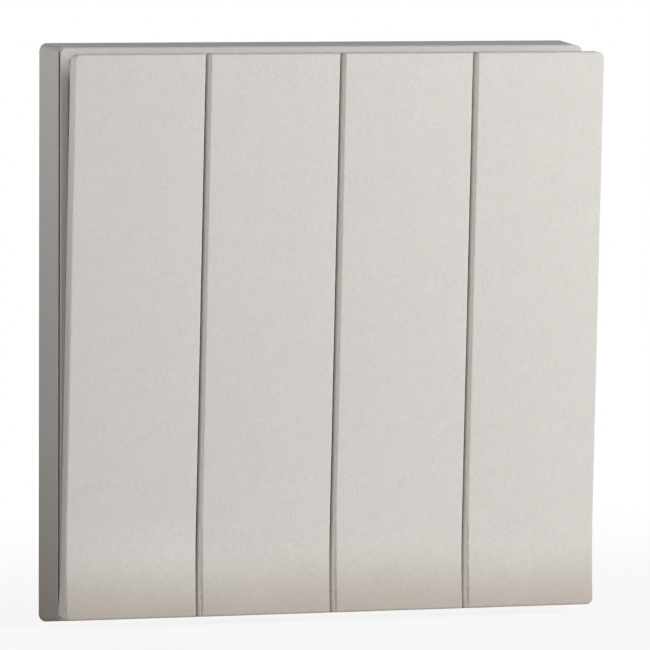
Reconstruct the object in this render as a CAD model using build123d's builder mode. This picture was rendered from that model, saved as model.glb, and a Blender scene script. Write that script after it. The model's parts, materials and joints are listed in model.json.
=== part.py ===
import os
from math import cos, radians, sin

from build123d import *

os.makedirs("parts", exist_ok=True)

# Four-gang rocker wall switch. X runs to the right, Z up, and the wall is the plane y = 0.
# Distances named _f are measured forward from the wall, which is toward -Y.

# Outer frame
frame_size = 86.0
frame_depth = 6.0
frame_draft = 0.55
frame_corner_r = 1.2
frame_wall = 1.6
frame_lip = 0.15
bevel_depth = 1.6
shelf_t = 1.6
shelf_f = 3.0
window_w = 71.0
window_h = 60.0

# Carrier tray
rim_inset = 0.05
rim_rise = 0.95
rim_edge = 0.15
rim_side = 1.3
rim_end = 1.8
tray_clear = 0.3
tray_wall = 1.2
floor_t = 1.6
hook_t = 1.2
hook_w = 8.0
hook_barb = 0.8
hook_z = 20.0
hook_rear = 0.4

# Wall screws
wall_screw_pitch = 60.3
wall_slot_r = 2.1
wall_slot_len = 6.6
wall_boss = 1.4

# Keys
gangs = 4
key_side_in = 0.05
key_end_in = 1.15
key_gap = 0.75
key_corner_r = 1.0
key_edge_r = 0.3
key_edge_t = 1.8
face_f = 12.0
flare = 0.8
flare_len = 16.0
lip = 0.85
lip_len = 8.0
pocket_depth = 0.8
key_rim = 1.5
mid_web = 9.0

# Rocking movement
pivot_rise = 1.6
rest_tilt = 2.8
pin_r = 1.0
pin_clear = 0.05
ear_t = 1.2
ear_gap = 0.4
ear_clear = 0.35
snap_w = 1.7

# Cradles
cell_pitch = 12.4
tube_r = 2.2
bore_clear = 0.06
tube_clear = 0.7
plate_h = 10.0
plate_t = 1.2
plate_overlap = 4.4
pad_t = 0.7
tongue_w = 2.4
tongue_h = 1.2
tongue_t = 1.2
tongue_clear = 0.1
tongue_pitch = 6.0

# Plungers and their springs
plunger_r = 1.45
arm_len = 11.6
guide_len = 8.4
nose_out = 2.4
spring_len = 4.0
spring_turns = 4
wire = 0.36
coil_r = 1.0
end_gap = 0.05

# Contact blades and terminals
blade_tilt = 6.0
blade_w = 5.0
blade_t = 0.8
blade_reach = 9.0
blade_lift = 0.2
saddle_t = 1.6
saddle_half = 1.8
ridge_r = 0.8
ridge_clear = 0.06
web_t = 1.0
rivet_r = 1.5
rivet_t = 1.0
rivet_z = 7.4
plunger_gap = 0.3
contact_gap = 0.3
strip_w = 6.0
block_w = 8.4
block_h = 6.0
block_d = 7.4
block_z = 13.5
wire_hole_r = 1.3
hole_side = 2.0
hole_depth = 5.5

# Housing and screws
bay_w = 10.6
bay_h = 36.0
bay_floor_drop = 1.05
housing_wall = 1.2
housing_h = 52.0
housing_corner_r = 2.0
block_clear = 0.1
screw_r = 1.2
screw_clear = 0.08
screw_head_r = 1.95
screw_head_t = 1.3
drive_w = 0.6
drive_d = 0.6
post_x = 22.0
post_z = 22.5
post_depth = 10.0

# Derived sizes
frame_front = frame_size - 2 * frame_draft
frame_front_r = frame_corner_r - frame_draft / 2
bevel_f = frame_depth - bevel_depth
rim_f = frame_depth + rim_rise
rim_half = frame_front / 2 - rim_inset
floor_f = shelf_f + floor_t
pivot_f = floor_f + pivot_rise
tray_half = frame_size / 2 - frame_wall - tray_clear
frame_inner = frame_size - 2 * frame_wall
frame_mouth = frame_front - 2 * frame_lip
keys_w = frame_size - 2 * key_side_in
key_h = frame_size - 2 * key_end_in
key_pitch = (keys_w + key_gap) / gangs
key_w = key_pitch - key_gap
face_d = face_f - pivot_f
under_d = face_d - key_edge_t
flare_low = flare_len - key_h / 2
lip_low = lip_len - key_h / 2
plate_top_d = under_d - pad_t
plate_under_d = plate_top_d - plate_t
ear_r = plate_under_d - ear_clear
lug_r = pivot_rise - ear_clear
bore_r = plunger_r + bore_clear
tube_end_d = nose_out - arm_len
plunger_top_d = tube_end_d + guide_len - spring_len
bore_top_d = plunger_top_d + spring_len + 2 * end_gap
ear_in = tube_r + ear_gap
ear_out = ear_in + ear_t
blade_f = pivot_f - arm_len - plunger_r - plunger_gap - saddle_t
rivet_back = rivet_z * sin(radians(blade_tilt)) + rivet_r * sin(radians(blade_tilt))
pad_f = blade_f - (rivet_t - blade_lift) - rivet_back - contact_gap
bay_floor_f = pad_f - bay_floor_drop
block_rear_f = bay_floor_f - block_d
housing_rear_f = block_rear_f - screw_head_t - end_gap
housing_w = cell_pitch * (gangs - 1) + bay_w + 2 * housing_wall
far_ear_x = wall_screw_pitch / 2 + wall_slot_len / 2 + ear_r
hook_x = window_w / 2 - end_gap - hook_t / 2
hook_len = shelf_f - hook_rear


def front(f):
    """Plane parallel to the wall, f forward of it."""
    return Plane.XZ.offset(f)


def tilted(f, tilt):
    """Plane through the X-directed axis at f, with its top end leaning forward by the tilt."""
    lean = radians(tilt)
    return Plane(origin=(0, -f, 0), x_dir=(1, 0, 0), z_dir=(0, -cos(lean), -sin(lean)))


def side(x, f, tilt):
    """Plane across X at x, with its own x forward from the axis at f and its own y up."""
    lean = radians(tilt)
    return Plane(origin=(x, -f, 0), x_dir=(0, -cos(lean), -sin(lean)), z_dir=(-1, 0, 0))


rock = tilted(pivot_f, rest_tilt)
blade_plane = tilted(blade_f, -blade_tilt)
key_xs = [(gang - (gangs - 1) / 2) * key_pitch for gang in range(gangs)]
cell_xs = [(gang - (gangs - 1) / 2) * cell_pitch for gang in range(gangs)]

# Outer frame: a shallow square wall with a shelf inside and a lip bevelled toward the tray
with BuildPart() as outer_frame:
    with BuildSketch(front(0)):
        RectangleRounded(frame_size, frame_size, frame_corner_r)
    with BuildSketch(front(frame_depth)):
        RectangleRounded(frame_front, frame_front, frame_front_r)
    loft()
    with BuildSketch(front(shelf_f)):
        Rectangle(frame_inner, frame_inner)
    extrude(amount=bevel_f - shelf_f, mode=Mode.SUBTRACT)
    with BuildSketch(front(bevel_f)):
        RectangleRounded(frame_inner, frame_inner, frame_front_r / 2)
    with BuildSketch(front(frame_depth)):
        RectangleRounded(frame_mouth, frame_mouth, frame_front_r - frame_lip)
    loft(mode=Mode.SUBTRACT)
    with BuildSketch(front(0)):
        Rectangle(frame_inner, frame_inner)
    extrude(amount=shelf_f - shelf_t, mode=Mode.SUBTRACT)
    with BuildSketch(front(0)):
        Rectangle(window_w, window_h)
    extrude(amount=shelf_f, mode=Mode.SUBTRACT)

outer_frame.part.label = "outer_frame"
export_step(outer_frame.part, "parts/outer_frame.step")

# Carrier tray: floor, flared rim, pivot ears, tube openings, wall screw bosses and hooks
with BuildPart() as carrier_tray:
    with BuildSketch(front(shelf_f)):
        Rectangle(2 * tray_half, 2 * tray_half)
    extrude(amount=bevel_f - shelf_f)
    with BuildSketch(front(bevel_f)):
        RectangleRounded(2 * tray_half, 2 * tray_half, frame_front_r / 2)
    with BuildSketch(front(rim_f - rim_edge)):
        RectangleRounded(2 * rim_half, 2 * rim_half, frame_front_r)
    loft()
    with BuildSketch(front(rim_f - rim_edge)):
        RectangleRounded(2 * rim_half, 2 * rim_half, frame_front_r)
    extrude(amount=rim_edge)
    with BuildSketch(front(floor_f)):
        Rectangle(2 * (tray_half - tray_wall), 2 * (tray_half - tray_wall - rim_end + rim_side))
    with BuildSketch(front(rim_f)):
        Rectangle(2 * (rim_half - rim_side), 2 * (rim_half - rim_end))
    loft(mode=Mode.SUBTRACT)
    ears = [x + turn * (ear_in + ear_t / 2) for x in cell_xs for turn in (-1, 1)]
    for x in ears + [-far_ear_x, far_ear_x]:
        with BuildSketch(side(x, pivot_f, 0)):
            Circle(ear_r)
            with Locations(((floor_f - pivot_f) / 2, 0)):
                Rectangle(pivot_f - floor_f, 2 * ear_r)
            Circle(pin_r + pin_clear, mode=Mode.SUBTRACT)
            with Locations((ear_r / 2, 0)):
                Rectangle(ear_r, snap_w, mode=Mode.SUBTRACT)
        extrude(amount=ear_t / 2, both=True)
    with BuildSketch(front(0)):
        with GridLocations(wall_screw_pitch, 0, 2, 1):
            SlotOverall(wall_slot_len + 2 * wall_boss, 2 * (wall_slot_r + wall_boss))
    extrude(amount=shelf_f)
    with BuildSketch(front(0)):
        with GridLocations(wall_screw_pitch, 0, 2, 1):
            SlotOverall(wall_slot_len, 2 * wall_slot_r)
    extrude(amount=floor_f, mode=Mode.SUBTRACT)
    with BuildSketch(front(shelf_f)):
        with GridLocations(cell_pitch, 0, gangs, 1):
            Rectangle(2 * (tube_r + ear_gap / 2), 2 * (tube_r + tube_clear))
        with GridLocations(2 * post_x, 2 * post_z, 2, 2):
            Circle(screw_r + screw_clear)
    extrude(amount=floor_t, mode=Mode.SUBTRACT)
    with BuildSketch(front(hook_rear)):
        with GridLocations(2 * hook_x, 2 * hook_z, 2, 2):
            Rectangle(hook_t, hook_w)
    extrude(amount=hook_len)
    with BuildSketch(front(hook_rear)):
        with GridLocations(2 * (hook_x + hook_barb), 2 * hook_z, 2, 2):
            Rectangle(hook_t, hook_w)
    extrude(amount=hook_len - shelf_t - end_gap)

carrier_tray.part.label = "carrier_tray"
export_step(carrier_tray.part, "parts/carrier_tray.step")

# Switch housing: the rear body with a bay for each gang and pockets for its terminals
with BuildPart() as switch_housing:
    with BuildSketch(front(housing_rear_f)):
        RectangleRounded(housing_w, housing_h, housing_corner_r)
    extrude(amount=shelf_f - housing_rear_f)
    with BuildSketch(front(bay_floor_f)):
        with GridLocations(cell_pitch, 0, gangs, 1):
            Rectangle(bay_w, bay_h)
    extrude(amount=shelf_f - bay_floor_f, mode=Mode.SUBTRACT)
    with BuildSketch(front(housing_rear_f)):
        with GridLocations(cell_pitch, block_z, gangs, 3):
            Rectangle(block_w + 2 * block_clear, block_h + 2 * block_clear)
    extrude(amount=bay_floor_f - housing_rear_f, mode=Mode.SUBTRACT)
    with BuildSketch(front(shelf_f)):
        with GridLocations(2 * post_x, 2 * post_z, 2, 2):
            Circle(screw_r + screw_clear)
    extrude(amount=-post_depth, mode=Mode.SUBTRACT)

switch_housing.part.label = "switch_housing"
export_step(switch_housing.part, "parts/switch_housing.step")

# Housing screws: four slotted screws from the tray floor into the housing
with BuildPart() as housing_screws:
    with BuildSketch(front(floor_f)):
        with GridLocations(2 * post_x, 2 * post_z, 2, 2):
            Circle(screw_head_r)
    extrude(amount=screw_head_t)
    with BuildSketch(front(floor_f)):
        with GridLocations(2 * post_x, 2 * post_z, 2, 2):
            Circle(screw_r)
    extrude(amount=end_gap + shelf_f - floor_f - post_depth)
    with BuildSketch(front(floor_f + screw_head_t)):
        with GridLocations(2 * post_x, 2 * post_z, 2, 2):
            Rectangle(2 * screw_head_r, drive_w)
    extrude(amount=-drive_d, mode=Mode.SUBTRACT)

housing_screws.part.label = "housing_screws"
export_step(housing_screws.part, "parts/housing_screws.step")

for gang in range(gangs):
    name = str(gang + 1)
    key_x = key_xs[gang]
    cell_x = cell_xs[gang]
    outward = 1 if cell_x > 0 else -1
    is_outer = gang in (0, gangs - 1)
    # The cradle plate lies over its tube and reaches outward until it is well under its own key
    plate_reach = tube_r + plate_overlap / 2
    key_edge = abs(key_x) - key_w / 2 + key_rim
    plate_low = abs(cell_x) - plate_reach
    plate_high = max(abs(cell_x) + plate_reach, key_edge + plate_overlap)
    pad_low = max(plate_low, key_edge)
    plate_x = outward * (plate_low + plate_high) / 2
    plate_w = plate_high - plate_low
    pad_x = outward * (pad_low + plate_high) / 2
    pad_w = plate_high - pad_low

    # Key: a thin-edged plate with a concave flare at its lower end, a pad for the cradle, and pockets behind
    with BuildPart() as key:
        with BuildSketch(side(key_x, pivot_f, rest_tilt)):
            with BuildLine():
                Line((under_d, key_h / 2), (face_d, key_h / 2))
                Line((face_d, key_h / 2), (face_d, flare_low))
                TangentArc((face_d, flare_low), (face_d + flare, -key_h / 2), tangent=(0, -1))
                Line((face_d + flare, -key_h / 2), (under_d - lip, -key_h / 2))
                TangentArc((under_d, lip_low), (under_d - lip, -key_h / 2), tangent=(0, -1))
                Line((under_d, lip_low), (under_d, key_h / 2))
            make_face()
        extrude(amount=key_w / 2, both=True)
        if is_outer:
            corners = key.edges().filter_by(Axis((0, 0, 0), rock.z_dir))
            fillet(corners.filter_by(lambda corner: corner.center().X * outward > abs(key_x)), key_corner_r)
        middles = [(edge, rock.to_local_coords(edge.center())) for edge in key.edges()]
        face_edges = [(edge, middle) for edge, middle in middles if middle.Z > face_d - key_edge_t / 4]
        face_rim = [edge for edge, middle in face_edges if abs(middle.Y - flare_low) > key_edge_r]
        fillet(face_rim, key_edge_r)
        with BuildSketch(rock.offset(under_d)):
            for low, high in ((mid_web, key_h / 2 - key_rim), (flare_low, -mid_web)):
                with Locations((key_x, (low + high) / 2)):
                    Rectangle(key_w - 2 * key_rim, high - low)
        extrude(amount=pocket_depth, mode=Mode.SUBTRACT)
        with BuildSketch(rock.offset(plate_top_d)):
            with Locations((pad_x, 0)):
                Rectangle(pad_w, plate_h)
        extrude(amount=pad_t)
        with BuildSketch(rock.offset(plate_top_d)):
            with Locations((pad_x, -tongue_pitch / 2), (pad_x, tongue_pitch / 2)):
                Rectangle(tongue_w + 2 * tongue_clear, tongue_h + 2 * tongue_clear)
        extrude(amount=tongue_t + tongue_clear, mode=Mode.SUBTRACT)
        if is_outer:
            lug_x = outward * (far_ear_x + ear_t + ear_gap)
            with BuildSketch(side(lug_x, pivot_f, rest_tilt)):
                Circle(lug_r)
                with Locations((under_d / 2, 0)):
                    Rectangle(under_d, 2 * lug_r)
            extrude(amount=ear_t / 2, both=True)
            with BuildSketch(side(lug_x, pivot_f, rest_tilt)):
                Circle(pin_r)
            extrude(amount=outward * (ear_t + ear_gap + ear_t / 2))

    key.part.label = "key_" + name
    export_step(key.part, "parts/key_" + name + ".step")

    # Cradle: a plate clipped under the key, with a plunger tube and two pivot pins
    with BuildPart() as cradle:
        with BuildSketch(rock.offset(plate_under_d)):
            with Locations((plate_x, 0)):
                Rectangle(plate_w, plate_h)
        extrude(amount=plate_t)
        with BuildSketch(rock.offset(plate_top_d)):
            with Locations((pad_x, -tongue_pitch / 2), (pad_x, tongue_pitch / 2)):
                Rectangle(tongue_w, tongue_h)
        extrude(amount=tongue_t)
        with BuildSketch(rock.offset(tube_end_d)):
            with Locations((cell_x, 0)):
                Circle(tube_r)
        extrude(amount=plate_under_d - tube_end_d)
        with BuildSketch(side(cell_x, pivot_f, rest_tilt)):
            Circle(pin_r)
        extrude(amount=ear_out, both=True)
        with BuildSketch(rock.offset(tube_end_d)):
            with Locations((cell_x, 0)):
                Circle(bore_r)
        extrude(amount=bore_top_d - tube_end_d, mode=Mode.SUBTRACT)

    cradle.part.label = "cradle_" + name
    export_step(cradle.part, "parts/cradle_" + name + ".step")

    # Plunger: a round pin with a domed nose, sliding in the cradle's tube
    with BuildPart() as plunger:
        with BuildSketch(rock.offset(-arm_len)):
            with Locations((cell_x, 0)):
                Circle(plunger_r)
        extrude(amount=plunger_top_d + arm_len)
        with Locations(rock.offset(-arm_len).location * Location((cell_x, 0, 0))):
            Sphere(plunger_r)

    plunger.part.label = "plunger_" + name
    export_step(plunger.part, "parts/plunger_" + name + ".step")

    # Plunger spring: a short coil between the plunger and the end of the bore
    with BuildPart() as plunger_spring:
        coil_start = rock.offset(plunger_top_d + end_gap + wire / 2)
        coil_height = spring_len - wire
        with BuildLine() as coil_line:
            coil = Helix(
                pitch=coil_height / spring_turns,
                height=coil_height,
                radius=coil_r,
                center=coil_start.from_local_coords((cell_x, 0, 0)),
                direction=rock.z_dir,
            )
        with BuildSketch(Plane(origin=coil @ 0, z_dir=coil % 0, x_dir=rock.z_dir)):
            Rectangle(wire, wire)
        sweep(is_frenet=True)

    plunger_spring.part.label = "plunger_spring_" + name
    export_step(plunger_spring.part, "parts/plunger_spring_" + name + ".step")

    # Contact blade: a strip with a grooved saddle at its middle and a rivet behind each end
    with BuildPart() as contact_blade:
        with BuildSketch(blade_plane.offset(blade_lift)):
            with Locations((cell_x, 0)):
                Rectangle(blade_w, 2 * blade_reach)
        extrude(amount=blade_t)
        with BuildSketch(blade_plane):
            with Locations((cell_x, 0)):
                Rectangle(blade_w, 2 * saddle_half)
        extrude(amount=saddle_t)
        with BuildSketch(blade_plane.offset(blade_lift)):
            with Locations((cell_x, -rivet_z), (cell_x, rivet_z)):
                Circle(rivet_r)
        extrude(amount=-rivet_t)
        with BuildSketch(side(cell_x, blade_f, -blade_tilt)):
            Circle(ridge_r + ridge_clear)
        extrude(amount=blade_w, both=True, mode=Mode.SUBTRACT)

    contact_blade.part.label = "contact_blade_" + name
    export_step(contact_blade.part, "parts/contact_blade_" + name + ".step")

    # Common terminal: a clamp block with a round-topped ridge that the blade tilts on
    with BuildPart() as common_terminal:
        with BuildSketch(front(block_rear_f)):
            with Locations((cell_x, 0)):
                Rectangle(block_w, block_h)
        extrude(amount=block_d)
        with BuildSketch(front(bay_floor_f)):
            with Locations((cell_x, 0)):
                Rectangle(blade_w, web_t)
        extrude(amount=blade_f - bay_floor_f)
        with BuildSketch(side(cell_x, blade_f, 0)):
            Circle(ridge_r)
        extrude(amount=blade_w / 2, both=True)
        with BuildSketch(front(block_rear_f)):
            with Locations((cell_x - hole_side, 0)):
                Circle(wire_hole_r)
            with Locations((cell_x + hole_side, 0)):
                Circle(screw_r + screw_clear)
        extrude(amount=hole_depth, mode=Mode.SUBTRACT)

    common_terminal.part.label = "common_terminal_" + name
    export_step(common_terminal.part, "parts/common_terminal_" + name + ".step")

    # Way terminals: a clamp block with a contact strip that reaches behind one end of the blade
    for place, turn in (("upper", 1), ("lower", -1)):
        strip_top = block_z + block_h / 2
        strip_low = rivet_z - rivet_r
        with BuildPart() as way_terminal:
            with BuildSketch(front(block_rear_f)):
                with Locations((cell_x, turn * block_z)):
                    Rectangle(block_w, block_h)
            extrude(amount=block_d)
            with BuildSketch(front(bay_floor_f)):
                with Locations((cell_x, turn * (strip_top + strip_low) / 2)):
                    Rectangle(strip_w, strip_top - strip_low)
            extrude(amount=pad_f - bay_floor_f)
            with BuildSketch(front(block_rear_f)):
                with Locations((cell_x - hole_side, turn * block_z)):
                    Circle(wire_hole_r)
                with Locations((cell_x + hole_side, turn * block_z)):
                    Circle(screw_r + screw_clear)
            extrude(amount=hole_depth, mode=Mode.SUBTRACT)

        way_terminal.part.label = place + "_terminal_" + name
        export_step(way_terminal.part, "parts/" + place + "_terminal_" + name + ".step")

    # Terminal screws: three slotted clamp screws, driven from the rear
    with BuildPart() as terminal_screws:
        screw_places = [(cell_x + hole_side, z) for z in (-block_z, 0, block_z)]
        with BuildSketch(front(block_rear_f)):
            with Locations(*screw_places):
                Circle(screw_head_r)
        extrude(amount=-screw_head_t)
        with BuildSketch(front(block_rear_f)):
            with Locations(*screw_places):
                Circle(screw_r)
        extrude(amount=hole_depth - end_gap)
        with BuildSketch(front(block_rear_f - screw_head_t)):
            with Locations(*screw_places):
                Rectangle(2 * screw_head_r, drive_w)
        extrude(amount=drive_d, mode=Mode.SUBTRACT)

    terminal_screws.part.label = "terminal_screws_" + name
    export_step(terminal_screws.part, "parts/terminal_screws_" + name + ".step")
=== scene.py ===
import bpy
import json
import math
from mathutils import Matrix, Vector


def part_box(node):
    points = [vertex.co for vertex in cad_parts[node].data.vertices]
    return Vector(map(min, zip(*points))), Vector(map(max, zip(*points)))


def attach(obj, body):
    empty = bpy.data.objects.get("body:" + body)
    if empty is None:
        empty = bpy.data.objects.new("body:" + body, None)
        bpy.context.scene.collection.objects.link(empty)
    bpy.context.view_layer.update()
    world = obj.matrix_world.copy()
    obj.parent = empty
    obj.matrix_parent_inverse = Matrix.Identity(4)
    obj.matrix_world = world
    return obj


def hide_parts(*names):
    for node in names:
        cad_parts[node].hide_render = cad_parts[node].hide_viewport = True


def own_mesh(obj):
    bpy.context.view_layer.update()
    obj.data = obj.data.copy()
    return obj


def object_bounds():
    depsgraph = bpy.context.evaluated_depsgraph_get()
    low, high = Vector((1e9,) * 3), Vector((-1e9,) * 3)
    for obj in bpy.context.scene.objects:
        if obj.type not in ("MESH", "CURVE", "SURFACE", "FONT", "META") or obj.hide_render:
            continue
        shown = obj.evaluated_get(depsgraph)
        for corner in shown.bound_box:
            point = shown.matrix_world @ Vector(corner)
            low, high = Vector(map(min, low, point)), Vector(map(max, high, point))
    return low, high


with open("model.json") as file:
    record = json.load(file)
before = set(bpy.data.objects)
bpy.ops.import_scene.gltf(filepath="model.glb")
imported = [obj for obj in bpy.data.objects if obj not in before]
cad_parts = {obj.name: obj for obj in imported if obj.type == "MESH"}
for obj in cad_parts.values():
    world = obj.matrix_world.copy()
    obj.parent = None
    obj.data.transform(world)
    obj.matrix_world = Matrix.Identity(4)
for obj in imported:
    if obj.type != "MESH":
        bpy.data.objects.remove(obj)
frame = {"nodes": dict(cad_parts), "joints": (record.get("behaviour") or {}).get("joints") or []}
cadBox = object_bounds()
scene = bpy.context.scene
scene.view_settings.view_transform = "Standard"


class Wire:  # one socket of a node tree, so that plain sums become Math nodes
    def __init__(self, sheet, socket):
        self.sheet = sheet
        self.socket = socket

    def maths(self, operation, first, second):
        return self.sheet.add("ShaderNodeMath", {"operation": operation}, {0: first, 1: second})

    def __add__(self, other):
        return self.maths("ADD", self, other)

    def __radd__(self, other):
        return self.maths("ADD", other, self)

    def __sub__(self, other):
        return self.maths("SUBTRACT", self, other)

    def __rsub__(self, other):
        return self.maths("SUBTRACT", other, self)

    def __mul__(self, other):
        return self.maths("MULTIPLY", self, other)

    def __rmul__(self, other):
        return self.maths("MULTIPLY", other, self)

    def __truediv__(self, other):
        return self.maths("DIVIDE", self, other)

    def __rtruediv__(self, other):
        return self.maths("DIVIDE", other, self)

    def __gt__(self, other):
        return self.maths("GREATER_THAN", self, other)

    def __lt__(self, other):
        return self.maths("LESS_THAN", self, other)


class Sheet:  # a node tree and the one method that adds a node to it
    def __init__(self, tree):
        self.tree = tree

    def add(self, kind, settings=None, values=None, out=0):
        node = self.tree.nodes.new(kind)
        for key, value in (settings or {}).items():
            setattr(node, key, value)
        for key, value in (values or {}).items():
            if isinstance(value, Wire):
                self.tree.links.new(value.socket, node.inputs[key])
            else:
                node.inputs[key].default_value = value
        return Wire(self, node.outputs[out]) if len(node.outputs) else node


def newFinish(name):
    material = bpy.data.materials.new(name)
    material.use_nodes = True
    material.node_tree.nodes.clear()
    return material, Sheet(material.node_tree)


def solid(colour, shade=1.0):  # a colour as a socket takes it
    return [c * shade for c in colour] + [1]


def mixColour(sheet, share, first, second, blend="MIX"):
    return sheet.add("ShaderNodeMix", {"data_type": "RGBA", "blend_type": blend},
                     {"Factor": share, "A": first, "B": second}, out="Result")


def noise(sheet, place, scale, detail, distortion=0.0):
    return sheet.add("ShaderNodeTexNoise", {}, {"Vector": place, "Scale": scale, "Detail": detail,
                                                "Distortion": distortion})


def easedStep(sheet, value, start, end, low=0.0, high=1.0):
    return sheet.add("ShaderNodeMapRange", {"interpolation_type": "SMOOTHSTEP"},
                     {"Value": value, "From Min": start, "From Max": end, "To Min": low, "To Max": high})


def grainedNormal(sheet, height, strength, depth, edgeRound):  # relief of the grain over softened edges
    edge = sheet.add("ShaderNodeBevel", {"samples": 4}, {"Radius": edgeRound})
    return sheet.add("ShaderNodeBump", {}, {"Height": height, "Strength": strength, "Distance": depth, "Normal": edge})


# Finishes

satinSettings = {
    "colour": (0.600, 0.580, 0.551),
    "specks": (0.520, 0.500, 0.471),
    "speckShare": 0.3,
    "grainShare": 1.6,                   # how much each noise moves the share of specks
    "mottleShare": 0.5,
    "cloudShare": 0.2,
    "grainScale": 2700.0,
    "mottleScale": 420.0,
    "cloudScale": 26.0,
    "paintedShade": (0.752, 0.703, 0.660),    # painted shade: warmer, darker lower ends of the keys and lower sides of the frame
    "paintedShadeDrift": 0.004,               # how far the tint's edge wanders
    "bareAndLit": (0.755, 0.730, 0.692),       # paler side faces: partly uncoated plastic, partly painted light that lifts the shade in the gaps between keys
    "sideFrom": 0.45,                    # a face counts as a side from here, fully at sideFull
    "sideFull": 0.95,
    "roughness": 0.60,
    "mottleRough": 0.10,
    "cloudRough": 0.06,
    "gloss": 0.05,
    "grainDepth": 0.000012,
    "grainStrength": 0.35,
    "mottleDepth": 0.6,                  # against the grain's
    "edgeRound": 0.00040,
}
satinUse = {
    "keyTint": (0.0105, -0.0015),        # from and to, above the keys' lower end
    "frameTint": (-0.010, -0.047),       # from and to, against the middle of the plate
    # painted shade: the tray is darkened for the keys' shade over its rim
    "trayPaintedShade": 0.96,
}


def satinFinish(name, settings, paintedShade=None, paintedShadeOnSides=False, shade=1.0, bareAndLitSides=False):
    material, sheet = newFinish(name)
    place = sheet.add("ShaderNodeTexCoord", out="Object")
    grain = noise(sheet, place, settings["grainScale"], 2.0)
    mottle = noise(sheet, place, settings["mottleScale"], 3.0)
    cloud = noise(sheet, place, settings["cloudScale"], 1.0)
    specked = ((grain - 0.5) * settings["grainShare"] + (mottle - 0.5) * settings["mottleShare"]
               + (cloud - 0.5) * settings["cloudShare"] + settings["speckShare"])
    colour = mixColour(sheet, specked, solid(settings["colour"], shade), solid(settings["specks"], shade))
    facing = sheet.add("ShaderNodeTexCoord", out="Normal")
    frontal = sheet.add("ShaderNodeSeparateXYZ", {}, {"Vector": facing}, out="Y")
    onSides = easedStep(sheet, 1 - frontal * frontal, settings["sideFrom"], settings["sideFull"])
    # painted shade: darker and warmer towards the lower end, multiplied into the colour
    if paintedShade:
        height = sheet.add("ShaderNodeSeparateXYZ", {}, {"Vector": place}, out="Z")
        shadeShare = easedStep(sheet, height + (cloud - 0.5) * settings["paintedShadeDrift"], *paintedShade)
        shadeShare = shadeShare * onSides if paintedShadeOnSides else shadeShare
        colour = mixColour(sheet, shadeShare, colour, solid(settings["paintedShade"]), "MULTIPLY")
    # paler side faces: partly uncoated plastic, partly painted light in the gaps between the keys
    if bareAndLitSides:
        colour = mixColour(sheet, onSides, colour, solid(settings["bareAndLit"]))
    roughness = (settings["roughness"] + (mottle - 0.5) * settings["mottleRough"]
                 + (cloud - 0.5) * settings["cloudRough"])
    normal = grainedNormal(sheet, grain + mottle * settings["mottleDepth"], settings["grainStrength"],
                           settings["grainDepth"], settings["edgeRound"])
    shader = sheet.add("ShaderNodeBsdfPrincipled", {}, {"Base Color": colour, "Roughness": roughness, "Normal": normal,
                                                        "Specular IOR Level": settings["gloss"]})
    sheet.add("ShaderNodeOutputMaterial", {}, {"Surface": shader})
    return material


mouldedSettings = {
    "colour": (0.70, 0.69, 0.66),
    "flow": (0.63, 0.62, 0.585),
    "flowShare": 0.8,
    "flowScale": 60.0,
    "flowStretch": (1.0, 0.35, 1.6),
    "flowBend": 0.6,
    "grainShare": 0.4,
    "grainScale": 1500.0,
    "grainDepth": 0.00002,
    "grainStrength": 0.5,
    "roughness": 0.52,
    "flowRough": 0.2,
    "edgeRound": 0.00025,
}


def mouldedFinish(name, settings):
    material, sheet = newFinish(name)
    place = sheet.add("ShaderNodeTexCoord", out="Object")
    stretched = sheet.add("ShaderNodeMapping", {}, {"Vector": place, "Scale": settings["flowStretch"]})
    flow = noise(sheet, stretched, settings["flowScale"], 4.0, settings["flowBend"])
    grain = noise(sheet, place, settings["grainScale"], 2.0)
    streaked = flow * settings["flowShare"] + (grain - 0.5) * settings["grainShare"]
    colour = mixColour(sheet, streaked, solid(settings["colour"]), solid(settings["flow"]))
    normal = grainedNormal(sheet, grain, settings["grainStrength"], settings["grainDepth"], settings["edgeRound"])
    roughness = settings["roughness"] + (flow - 0.5) * settings["flowRough"]
    shader = sheet.add("ShaderNodeBsdfPrincipled", {}, {"Base Color": colour, "Normal": normal, "Roughness": roughness})
    sheet.add("ShaderNodeOutputMaterial", {}, {"Surface": shader})
    return material


metalSettings = {
    "brass": {"colour": (0.78, 0.58, 0.27), "worn": (0.52, 0.36, 0.17), "roughness": 0.30, "drawn": (240, 240, 2400)},
    "steel": {"colour": (0.62, 0.62, 0.61), "worn": (0.42, 0.41, 0.39), "roughness": 0.27, "drawn": (900, 300, 900)},
    "lineScale": 4.0,
    "lineStrength": 0.3,
    "lineDepth": 0.00001,
    "lineRough": 0.2,
    "tarnishScale": 380.0,
    "tarnishFrom": 0.35,
    "tarnishShare": 0.9,
    "edgeRound": 0.00012,
}


def metalFinish(name, metal, settings):
    material, sheet = newFinish(name)
    place = sheet.add("ShaderNodeTexCoord", out="Object")
    alongDraw = sheet.add("ShaderNodeMapping", {}, {"Vector": place, "Scale": metal["drawn"]})
    lines = noise(sheet, alongDraw, settings["lineScale"], 3.0)
    tarnish = noise(sheet, place, settings["tarnishScale"], 4.0)
    dulled = (tarnish - settings["tarnishFrom"]) * settings["tarnishShare"]
    colour = mixColour(sheet, dulled, solid(metal["colour"]), solid(metal["worn"]))
    normal = grainedNormal(sheet, lines, settings["lineStrength"], settings["lineDepth"], settings["edgeRound"])
    roughness = metal["roughness"] + (lines - 0.5) * settings["lineRough"]
    shader = sheet.add("ShaderNodeBsdfPrincipled", {}, {"Base Color": colour, "Metallic": 1.0, "Normal": normal,
                                                        "Roughness": roughness})
    sheet.add("ShaderNodeOutputMaterial", {}, {"Surface": shader})
    return material


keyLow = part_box("key_1")[0].z
keyTint = [keyLow + above for above in satinUse["keyTint"]]
# painted shade on the keys' lower ends and on the frame's lower sides
keySatin = satinFinish("keySatin", satinSettings, paintedShade=keyTint, bareAndLitSides=True)
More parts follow.
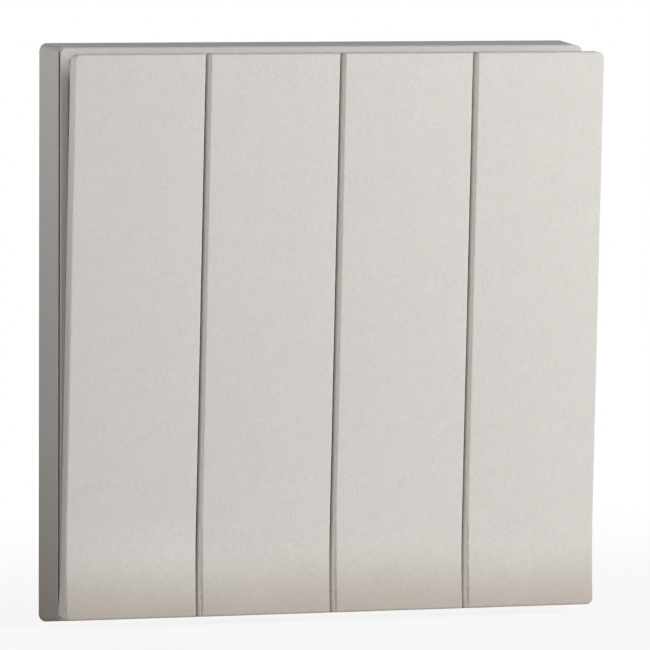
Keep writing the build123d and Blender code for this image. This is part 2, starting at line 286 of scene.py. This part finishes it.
# painted shade: tray colour lowered by trayPaintedShade
traySatin = satinFinish("traySatin", satinSettings, shade=satinUse["trayPaintedShade"], bareAndLitSides=True)
frameSatin = satinFinish("frameSatin", satinSettings, paintedShade=satinUse["frameTint"], paintedShadeOnSides=True)
housingPlastic = mouldedFinish("housingPlastic", mouldedSettings)
brass = metalFinish("terminalBrass", metalSettings["brass"], metalSettings)
steel = metalFinish("platedSteel", metalSettings["steel"], metalSettings)
print("finishes made:", len(bpy.data.materials))

nodeFinish = {
    "key_": keySatin, "outer_frame": frameSatin, "carrier_tray": traySatin,
    "switch_housing": housingPlastic, "cradle_": housingPlastic, "plunger_spring": steel, "plunger_": housingPlastic,
    "contact_blade": brass, "common_terminal": brass, "upper_terminal": brass, "lower_terminal": brass,
    "housing_screws": steel, "terminal_screws": steel,
}
shading = {"sharpPast": math.radians(28), "joinWithin": 0.000002}


def easeEdges(sheet, mesh):  # smooth shading, with edges kept sharp past the angle
    smooth = sheet.add("GeometryNodeSetShadeSmooth", {"domain": "FACE"}, {"Geometry": mesh, "Shade Smooth": True})
    angle = sheet.add("GeometryNodeInputMeshEdgeAngle", {}, {}, out="Unsigned Angle")
    return sheet.add("GeometryNodeSetShadeSmooth", {"domain": "EDGE"},
                     {"Geometry": smooth, "Selection": angle > shading["sharpPast"], "Shade Smooth": False})


def easeFacets():  # shading only: joins a node's loose triangles, then eases them
    tree = bpy.data.node_groups.new("easeFacets", "GeometryNodeTree")
    tree.interface.new_socket("Mesh", in_out="INPUT", socket_type="NodeSocketGeometry")
    tree.interface.new_socket("Mesh", in_out="OUTPUT", socket_type="NodeSocketGeometry")
    sheet = Sheet(tree)
    joined = sheet.add("GeometryNodeMergeByDistance", {}, {"Geometry": sheet.add("NodeGroupInput"),
                                                           "Distance": shading["joinWithin"]})
    sheet.add("NodeGroupOutput", {}, {"Mesh": easeEdges(sheet, joined)})
    return tree


eased = easeFacets()
for nodeName, node in frame["nodes"].items():
    finish = next(material for start, material in nodeFinish.items() if nodeName.startswith(start))
    node.data.materials.clear()
    node.data.materials.append(finish)
    node.modifiers.new("easeFacets", "NODES").node_group = eased
print("nodes finished")

# Springs, screws, ribs and marks grown by Geometry Nodes


def newTree(name, inputs):
    tree = bpy.data.node_groups.new(name, "GeometryNodeTree")
    for label, kind in inputs.items():
        tree.interface.new_socket(label, in_out="INPUT", socket_type="NodeSocket" + kind)
    tree.interface.new_socket("Mesh", in_out="OUTPUT", socket_type="NodeSocketGeometry")
    sheet = Sheet(tree)
    group = tree.nodes.new("NodeGroupInput")
    return sheet, {label: Wire(sheet, group.outputs[label]) for label in inputs}


def closeTree(sheet, mesh, finish):
    real = sheet.add("GeometryNodeRealizeInstances", {}, {"Geometry": easeEdges(sheet, mesh)})
    painted = sheet.add("GeometryNodeSetMaterial", {}, {"Geometry": real, "Material": finish})
    sheet.add("NodeGroupOutput", {}, {"Mesh": painted})
    return sheet.tree


def joinMeshes(sheet, *meshes):
    joined = sheet.add("GeometryNodeJoinGeometry", {}, {0: meshes[0]})
    for mesh in meshes[1:]:
        sheet.tree.links.new(mesh.socket, joined.socket.node.inputs[0])
    return joined


def along(sheet, axis, length):  # a vector on one axis
    return sheet.add("ShaderNodeCombineXYZ", {}, {axis: length})


def grow(name, tree, values, places, turn, body):  # runs a tree on the places and keeps the plain mesh
    seeds = bpy.data.meshes.new(name)
    seeds.from_pydata(places, [], [])
    piece = bpy.data.objects.new(name, seeds)
    scene.collection.objects.link(piece)
    growing = piece.modifiers.new(name, "NODES")
    growing.node_group = tree
    for item in tree.interface.items_tree:
        if item.in_out == "INPUT" and item.name in values:
            growing[item.identifier] = values[item.name]
    piece.data = bpy.data.meshes.new_from_object(piece.evaluated_get(bpy.context.evaluated_depsgraph_get()))
    piece.modifiers.remove(growing)
    piece.data.transform(turn)
    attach(piece, body)
    return piece


springSettings = {
    "Open Turns": 3.0, "Coil Radius": 0.00100, "Wire Radius": 0.00018, "Length": 0.0040,
    "turnPoints": 22, "wirePoints": 10,
}


def springTree():  # round wire with a closed turn at each end
    sheet, size = newTree("plungerSpring", {"Places": "Geometry", "Open Turns": "Float", "Coil Radius": "Float",
                                            "Wire Radius": "Float", "Length": "Float"})
    turns = size["Open Turns"] + 2
    flat = sheet.add("GeometryNodeCurveSpiral", {}, {"Resolution": springSettings["turnPoints"], "Rotations": turns,
                                                     "Start Radius": size["Coil Radius"],
                                                     "End Radius": size["Coil Radius"], "Height": 0.0})
    passed = sheet.add("GeometryNodeSplineParameter", {}, {}, out="Factor") * turns
    wire = size["Wire Radius"] * 2
    opened = passed.maths("MINIMUM", passed.maths("MAXIMUM", passed - 1, 0.0), size["Open Turns"])
    closed = passed - opened
    rise = (size["Length"] - wire * 3) / size["Open Turns"]
    lift = along(sheet, "Z", closed * wire + opened * rise + size["Wire Radius"])
    coil = sheet.add("GeometryNodeSetPosition", {}, {"Geometry": flat, "Offset": lift})
    ring = sheet.add("GeometryNodeCurvePrimitiveCircle", {}, {"Resolution": springSettings["wirePoints"],
                                                              "Radius": size["Wire Radius"]})
    swept = sheet.add("GeometryNodeCurveToMesh", {}, {"Curve": coil, "Profile Curve": ring, "Fill Caps": True})
    placed = sheet.add("GeometryNodeInstanceOnPoints", {}, {"Points": size["Places"], "Instance": swept})
    return closeTree(sheet, placed, steel)


screwSettings = {
    "clamp": {"Head Radius": 0.00195, "Head Depth": 0.0013, "Dome": 0.00030, "Slot Width": 0.0006,
              "Slot Depth": 0.00075, "Cross Share": 0.62, "Cross Depth": 0.84,
              "Shank Radius": 0.00118, "Shank Length": 0.0054, "Thread Pitch": 0.0006},
    "housing": {"Head Radius": 0.00195, "Head Depth": 0.0013, "Dome": 0.00045, "Slot Width": 0.0006,
                "Slot Depth": 0.00085, "Cross Share": 0.62, "Cross Depth": 0.84,
                "Shank Radius": 0.00118, "Shank Length": 0.0115, "Thread Pitch": 0.0009},
    "seed": 7,
    "slotShare": 1.2,         # slot length against the head's width, so that it runs out at both ends
    "domeAbove": 0.45,        # only the points above this share of the depth are domed
    "coreShare": 0.85,        # core, thread line and ridge against the shank's radius
    "threadShare": 0.86,
    "ridgeShare": 0.14,
    "threadRun": 0.86,        # length and foot of the thread against the shank's length
    "threadFoot": 0.98,
    "headPoints": 36, "headRings": 5, "corePoints": 20, "threadPoints": 18, "ridgePoints": 4,
    "joinWithin": 0.000004,
}


def screwTree(name, settings):  # domed head with a slot and a short cross slot, threaded shank behind it
    sheet, size = newTree(name, {"Places": "Geometry", "Seed": "Int",
                                 **{label: "Float" for label in settings["clamp"]}})
    depth, headRadius = size["Head Depth"], size["Head Radius"]
    shankRadius, shankLength = size["Shank Radius"], size["Shank Length"]
    head = sheet.add("GeometryNodeMeshCylinder", {"fill_type": "TRIANGLE_FAN"},
                     {"Vertices": settings["headPoints"], "Side Segments": 1, "Fill Segments": settings["headRings"],
                      "Radius": headRadius, "Depth": depth})
    spot = sheet.add("GeometryNodeInputPosition")
    x, y, z = (sheet.add("ShaderNodeSeparateXYZ", {}, {"Vector": spot}, out=axis) for axis in "XYZ")
    sag = (x * x + y * y) / (headRadius * headRadius) * size["Dome"] * (z > depth * settings["domeAbove"])
    head = sheet.add("GeometryNodeSetPosition", {}, {"Geometry": head, "Offset": along(sheet, "Z", depth * 0.5 - sag)})
    slots = ((True, settings["slotShare"], 1.0), (False, size["Cross Share"], size["Cross Depth"]))
    for lengthways, share, sunk in slots:
        length, width = headRadius * 2 * share, size["Slot Width"]
        box = sheet.add("ShaderNodeCombineXYZ", {}, {"X": length if lengthways else width,
                                                     "Y": width if lengthways else length,
                                                     "Z": size["Slot Depth"] * 2 * sunk})
        cutter = sheet.add("GeometryNodeMeshCube", {}, {"Size": box})
        raised = sheet.add("GeometryNodeTransform", {}, {"Geometry": cutter, "Translation": along(sheet, "Z", depth)})
        head = sheet.add("GeometryNodeMeshBoolean", {"operation": "DIFFERENCE"}, {"Mesh 1": head, "Mesh 2": raised})
    head = sheet.add("GeometryNodeMergeByDistance", {}, {"Geometry": head, "Distance": settings["joinWithin"]})
    core = sheet.add("GeometryNodeMeshCylinder", {}, {"Vertices": settings["corePoints"], "Depth": shankLength,
                                                      "Radius": shankRadius * settings["coreShare"]})
    back = along(sheet, "Z", shankLength * -0.5)
    core = sheet.add("GeometryNodeTransform", {}, {"Geometry": core, "Translation": back})
    path = sheet.add("GeometryNodeCurveSpiral", {},
                     {"Resolution": settings["threadPoints"], "Height": shankLength * settings["threadRun"],
                      "Rotations": shankLength / size["Thread Pitch"] * settings["threadRun"],
                      "Start Radius": shankRadius * settings["threadShare"],
                      "End Radius": shankRadius * settings["threadShare"]})
    ridge = sheet.add("GeometryNodeCurvePrimitiveCircle", {}, {"Resolution": settings["ridgePoints"],
                                                               "Radius": shankRadius * settings["ridgeShare"]})
    thread = sheet.add("GeometryNodeCurveToMesh", {}, {"Curve": path, "Profile Curve": ridge, "Fill Caps": True})
    foot = along(sheet, "Z", shankLength * -settings["threadFoot"])
    thread = sheet.add("GeometryNodeTransform", {}, {"Geometry": thread, "Translation": foot})
    screw = joinMeshes(sheet, head, core, thread)
    spin = sheet.add("FunctionNodeRandomValue", {"data_type": "FLOAT"},
                     {2: 0.0, 3: math.tau, "Seed": size["Seed"]}, out=1)    # sockets 2 and 3 are the float range
    driven = sheet.add("FunctionNodeAxisAngleToRotation", {}, {"Axis": (0, 0, 1), "Angle": spin})
    placed = sheet.add("GeometryNodeInstanceOnPoints", {}, {"Points": size["Places"], "Instance": screw,
                                                            "Rotation": driven})
    return closeTree(sheet, placed, steel)


ribSettings = {
    "side": {"Count": 7, "Pitch": 0.0066, "Length": 0.0130, "Width": 0.0011, "Height": 0.0005},
    "end": {"Count": 6, "Pitch": 0.0070, "Length": 0.0130, "Width": 0.0011, "Height": 0.0005},
    "frame": {"Count": 9, "Pitch": 0.0088, "Length": 0.0106, "Width": 0.0008, "Height": 0.0011},
    "frameSide": {"Count": 3, "Pitch": 0.0090, "Length": 0.0052, "Width": 0.0008, "Height": 0.0011},
    "runOut": 0.22,           # lower is blunter at the ends
    "alongPoints": 25, "roundPoints": 14,
    "housingFrom": 0.0035,    # the housing's sides stand free of the tray from here to the rear
    "recessFloor": -0.0014,   # floor of the recess behind the frame, and the middles of its arms
    "recessEnd": 0.0357,
    "recessSide": 0.0386,
}


def ribTree(name, finish, settings):  # a row of round-backed ribs that run out to nothing at both ends
    sheet, size = newTree(name, {"Places": "Geometry", "Count": "Int", "Pitch": "Float", "Length": "Float",
                                 "Width": "Float", "Height": "Float"})
    half = size["Length"] * 0.5
    line = sheet.add("GeometryNodeCurvePrimitiveLine", {}, {"Start": along(sheet, "Y", half * -1),
                                                            "End": along(sheet, "Y", half)})
    fine = sheet.add("GeometryNodeResampleCurve", {}, {"Curve": line, "Count": settings["alongPoints"]})
    passed = sheet.add("GeometryNodeSplineParameter", {}, {}, out="Factor")
    swell = passed.maths("POWER", passed * (1 - passed) * 4, settings["runOut"])
    shaped = sheet.add("GeometryNodeSetCurveRadius", {}, {"Curve": fine, "Radius": swell})
    ring = sheet.add("GeometryNodeCurvePrimitiveCircle", {}, {"Resolution": settings["roundPoints"],
                                                              "Radius": size["Width"] * 0.5})
    bar = sheet.add("GeometryNodeCurveToMesh", {}, {"Curve": shaped, "Profile Curve": ring, "Fill Caps": True})
    tall = sheet.add("ShaderNodeCombineXYZ", {}, {"X": 1.0, "Y": 1.0, "Z": size["Height"] / size["Width"] * 2})
    bar = sheet.add("GeometryNodeTransform", {}, {"Geometry": bar, "Scale": tall})
    start = along(sheet, "X", (size["Count"] - 1) * size["Pitch"] * -0.5)
    row = sheet.add("GeometryNodeMeshLine", {}, {"Count": size["Count"], "Start Location": start,
                                                 "Offset": along(sheet, "X", size["Pitch"])})
    placed = sheet.add("GeometryNodeInstanceOnPoints", {}, {"Points": row, "Instance": bar})
    return closeTree(sheet, placed, finish)


markSettings = {
    "Radius": 0.00045, "Height": 0.00035, "roundPoints": 16, "rings": 8,
    "pitch": 0.0018, "above": 0.0046, "clampHalf": 0.003,    # clampHalf: half the height of a clamp block
    "dots": {"common": 1, "upper": 2, "lower": 3},
}


def markTree(settings):  # low round pips beside each clamp
    sheet, size = newTree("clampMarks", {"Places": "Geometry", "Radius": "Float", "Height": "Float"})
    ball = sheet.add("GeometryNodeMeshUVSphere", {}, {"Segments": settings["roundPoints"], "Rings": settings["rings"],
                                                      "Radius": size["Radius"]})
    low = sheet.add("ShaderNodeCombineXYZ", {}, {"X": 1.0, "Y": 1.0, "Z": size["Height"] / size["Radius"]})
    pip = sheet.add("GeometryNodeTransform", {}, {"Geometry": ball, "Scale": low})
    placed = sheet.add("GeometryNodeInstanceOnPoints", {}, {"Points": size["Places"], "Instance": pip})
    return closeTree(sheet, placed, housingPlastic)


def middle(nodeName):
    low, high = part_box(nodeName)
    return (Vector(low) + Vector(high)) / 2


def quarter(turns, axis):
    return Matrix.Rotation(turns * math.pi / 2, 4, axis)


toRear = quarter(-1, "X")     # turns local up to the rear
toFront = quarter(1, "X")     # turns local up to the front
jointNamed = {joint["name"]: joint for joint in frame["joints"]}
gangNames = [name.split("_")[1] for name in sorted(frame["nodes"]) if name.startswith("key_")]

coilTree = springTree()
for gang in gangNames:
    slide = jointNamed[f"plunger_{gang}_slide"]
    outward = Vector(slide["axis"])
    centre = middle(f"plunger_spring_{gang}")
    stand = centre - outward * (springSettings["Length"] / 2)
    turn = Matrix.Translation(stand) @ outward.to_track_quat("Z", "Y").to_matrix().to_4x4()
    spring = grow(f"plungerCoil_{gang}", coilTree, springSettings, [(0, 0, 0)], turn, f"rocker_{gang}")
    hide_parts(f"plunger_spring_{gang}")
    travel = slide["range_m"][1]
    1 - travel / springSettings["Length"]
    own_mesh(spring)
print("springs grown:", len(gangNames))

driveTree = screwTree("slottedScrew", screwSettings)
clampHead = screwSettings["clamp"]["Head Radius"]
for gang in gangNames:
    low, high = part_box(f"terminal_screws_{gang}")
    seat = high[1] - screwSettings["clamp"]["Head Depth"]
    rows = [middle(f"common_terminal_{gang}").z, high[2] - clampHead, low[2] + clampHead]
    places = [((low[0] + high[0]) / 2, -row, seat) for row in rows]
    values = {**screwSettings["clamp"], "Seed": screwSettings["seed"] + int(gang)}
    screws = grow(f"clampScrews_{gang}", driveTree, values, places, toRear, "base")
    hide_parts(f"terminal_screws_{gang}")
low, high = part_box("housing_screws")
trayHead = screwSettings["housing"]["Head Radius"]
seat = -low[1] - screwSettings["housing"]["Head Depth"]
places = [(x, z, seat) for x in (low[0] + trayHead, high[0] - trayHead)
          for z in (low[2] + trayHead, high[2] - trayHead)]
values = {**screwSettings["housing"], "Seed": screwSettings["seed"]}
screws = grow("trayScrews", driveTree, values, places, toFront, "base")
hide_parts("housing_screws")
print("screws grown")

housingFar = Vector(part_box("switch_housing")[1])
ribMiddle = (ribSettings["housingFrom"] + housingFar.y) / 2
housingRibs = ribTree("mouldedRibs", housingPlastic, ribSettings)
for name, kind, at, turn in (
    ("housingRibs_right", "side", (housingFar.x, ribMiddle, 0), quarter(1, "Y")),
    ("housingRibs_left", "side", (-housingFar.x, ribMiddle, 0), quarter(-1, "Y")),
    ("housingRibs_top", "end", (0, ribMiddle, housingFar.z), Matrix.Identity(4)),
    ("housingRibs_bottom", "end", (0, ribMiddle, -housingFar.z), quarter(2, "Y")),
):
    grow(name, housingRibs, ribSettings[kind], [(0, 0, 0)], Matrix.Translation(at) @ turn, "base")

recessFloor, recessEnd, recessSide = (ribSettings[key] for key in ("recessFloor", "recessEnd", "recessSide"))
frameRibs = ribTree("frameRibs", frameSatin, ribSettings)
for name, kind, at, turn in (
    ("frameRibs_top", "frame", (0, recessFloor, recessEnd), toRear),
    ("frameRibs_bottom", "frame", (0, recessFloor, -recessEnd), toRear),
    ("frameRibs_right", "frameSide", (recessSide, recessFloor, 0), toRear @ quarter(1, "Z")),
    ("frameRibs_left", "frameSide", (-recessSide, recessFloor, 0), toRear @ quarter(1, "Z")),
):
    grow(name, frameRibs, ribSettings[kind], [(0, 0, 0)], Matrix.Translation(at) @ turn, "base")
print("ribs grown")

places = []
for gang in gangNames:
    for way, dots in markSettings["dots"].items():
        low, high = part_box(f"{way}_terminal_{gang}")
        spot = middle(f"{way}_terminal_{gang}")
        clampZ = {"common": spot.z, "upper": high[2] - markSettings["clampHalf"],
                  "lower": low[2] + markSettings["clampHalf"]}[way]
        for dot in range(dots):
            across = (dot - (dots - 1) / 2) * markSettings["pitch"]
            places.append((spot.x + across, -(clampZ + markSettings["above"]), housingFar.y))
grow("clampMarks", markTree(markSettings), markSettings, places, toRear, "base")
print("marks grown:", len(places))

# Floor, light and camera

floorSettings = {
    "size": 40.0, "drop": 0.0004,
    "colour": (0.66, 0.65, 0.64), "mottled": (0.60, 0.59, 0.58), "mottleScale": 3.0, "mottleShare": 0.06,
    "roughness": 0.9, "gloss": 0.1,
    "whiteShare": 0.88, "shadowEnd": 0.06, "whiteFrom": 0.26,    # the shadow shows near the object, white beyond
}
lamps = {
    "mainLamp": {"at": (0.312, -0.355, 0.180), "aim": (0, 0, 0), "size": (0.24, 0.24), "power": 2.24},
    "fillLamp": {"at": (-0.98, -1.74, 0.13), "aim": (0, 0, 0), "size": (1.50, 0.30), "power": 14.6},
    "cornerLamp": {"at": (-0.097, -0.013, 0.056), "aim": (-0.043, -0.005, 0.03), "size": (0.03, 0.03), "power": 0.0115},
    "rearLamp": {"at": (0.02, 0.36, 0.02), "aim": (0, 0, 0), "size": (0.045, 0.045), "power": 0.92},
}
skyLight = 0.02
photoView = {
    "azimuth": -23.443, "elevation": 2.884, "roll": -0.164, "distance": 1.354669, "aim": (0.003255, 0, 0.000376),
    "focalPixels": 9004.254, "imagePixels": 650, "sensorWidth": 36.0, "farEnd": 50.0,
}


def whenSeen(sheet):  # 1 for rays that show the background, 0 for rays that light the object
    camera = sheet.add("ShaderNodeLightPath", out="Is Camera Ray")
    glossy = sheet.add("ShaderNodeLightPath", out="Is Glossy Ray")
    through = sheet.add("ShaderNodeLightPath", out="Is Transmission Ray")
    return (camera + glossy + through) > 0.5


def makeFloor(settings):
    half = settings["size"] / 2
    mesh = bpy.data.meshes.new("floor")
    mesh.from_pydata([(-half, -half, 0), (half, -half, 0), (half, half, 0), (-half, half, 0)], [], [(0, 1, 2, 3)])
    mesh.transform(Matrix.Translation((0, 0, cadBox[0][2] - settings["drop"])))
    floor = bpy.data.objects.new("floor", mesh)
    scene.collection.objects.link(floor)
    material, sheet = newFinish("paleFloor")
    place = sheet.add("ShaderNodeTexCoord", out="Object")
    cloud = noise(sheet, place, settings["mottleScale"], 2.0)
    tone = mixColour(sheet, cloud * settings["mottleShare"], solid(settings["colour"]), solid(settings["mottled"]))
    lit = sheet.add("ShaderNodeBsdfPrincipled", {}, {"Base Color": tone, "Roughness": settings["roughness"],
                                                     "Specular IOR Level": settings["gloss"]})
    away = sheet.add("ShaderNodeVectorMath", {"operation": "LENGTH"}, {0: place}, out="Value")
    share = easedStep(sheet, away, settings["shadowEnd"], settings["whiteFrom"], settings["whiteShare"], 1.0)
    white = sheet.add("ShaderNodeEmission", {}, {"Color": (1, 1, 1, 1), "Strength": 1.0})
    both = sheet.add("ShaderNodeMixShader", {}, {0: whenSeen(sheet) * share, 1: lit, 2: white})
    sheet.add("ShaderNodeOutputMaterial", {}, {"Surface": both})
    mesh.materials.append(material)


def makeSky(strength):
    world = bpy.data.worlds.new("studio")
    world.use_nodes = True
    world.node_tree.nodes.clear()
    sheet = Sheet(world.node_tree)
    seen = whenSeen(sheet)
    sky = sheet.add("ShaderNodeBackground", {}, {"Color": (1, 1, 1, 1), "Strength": seen * (1 - strength) + strength})
    sheet.add("ShaderNodeOutputWorld", {}, {"Surface": sky})
    scene.world = world


def makeLamp(name, settings):
    lamp = bpy.data.lights.new(name, "AREA")
    lamp.shape = "RECTANGLE"
    lamp.size, lamp.size_y = settings["size"]
    lamp.energy = settings["power"]
    holder = bpy.data.objects.new(name, lamp)
    toward = Vector(settings["aim"]) - Vector(settings["at"])
    holder.matrix_world = Matrix.Translation(settings["at"]) @ toward.to_track_quat("-Z", "Y").to_matrix().to_4x4()
    holder.visible_camera = False
    scene.collection.objects.link(holder)


def makeCamera(view):
    camera = bpy.data.cameras.new("photoCamera")
    camera.sensor_width = view["sensorWidth"]
    camera.lens = view["focalPixels"] / view["imagePixels"] * view["sensorWidth"]
    camera.clip_end = view["farEnd"]
    turn, rise = math.radians(view["azimuth"]), math.radians(view["elevation"])
    back = Vector((math.sin(turn) * math.cos(rise), -math.cos(turn) * math.cos(rise), math.sin(rise)))
    right = Vector((0, 0, 1)).cross(back).normalized()
    axes = Matrix((right, back.cross(right), back)).transposed().to_4x4()
    holder = bpy.data.objects.new("photoCamera", camera)
    roll = Matrix.Rotation(-math.radians(view["roll"]), 4, "Z")
    holder.matrix_world = Matrix.Translation(Vector(view["aim"]) + back * view["distance"]) @ axes @ roll
    scene.collection.objects.link(holder)
    scene.camera = holder


makeFloor(floorSettings)
makeSky(skyLight)
for lampName, lampSettings in lamps.items():
    makeLamp(lampName, lampSettings)
makeCamera(photoView)
print("floor, light and camera placed")
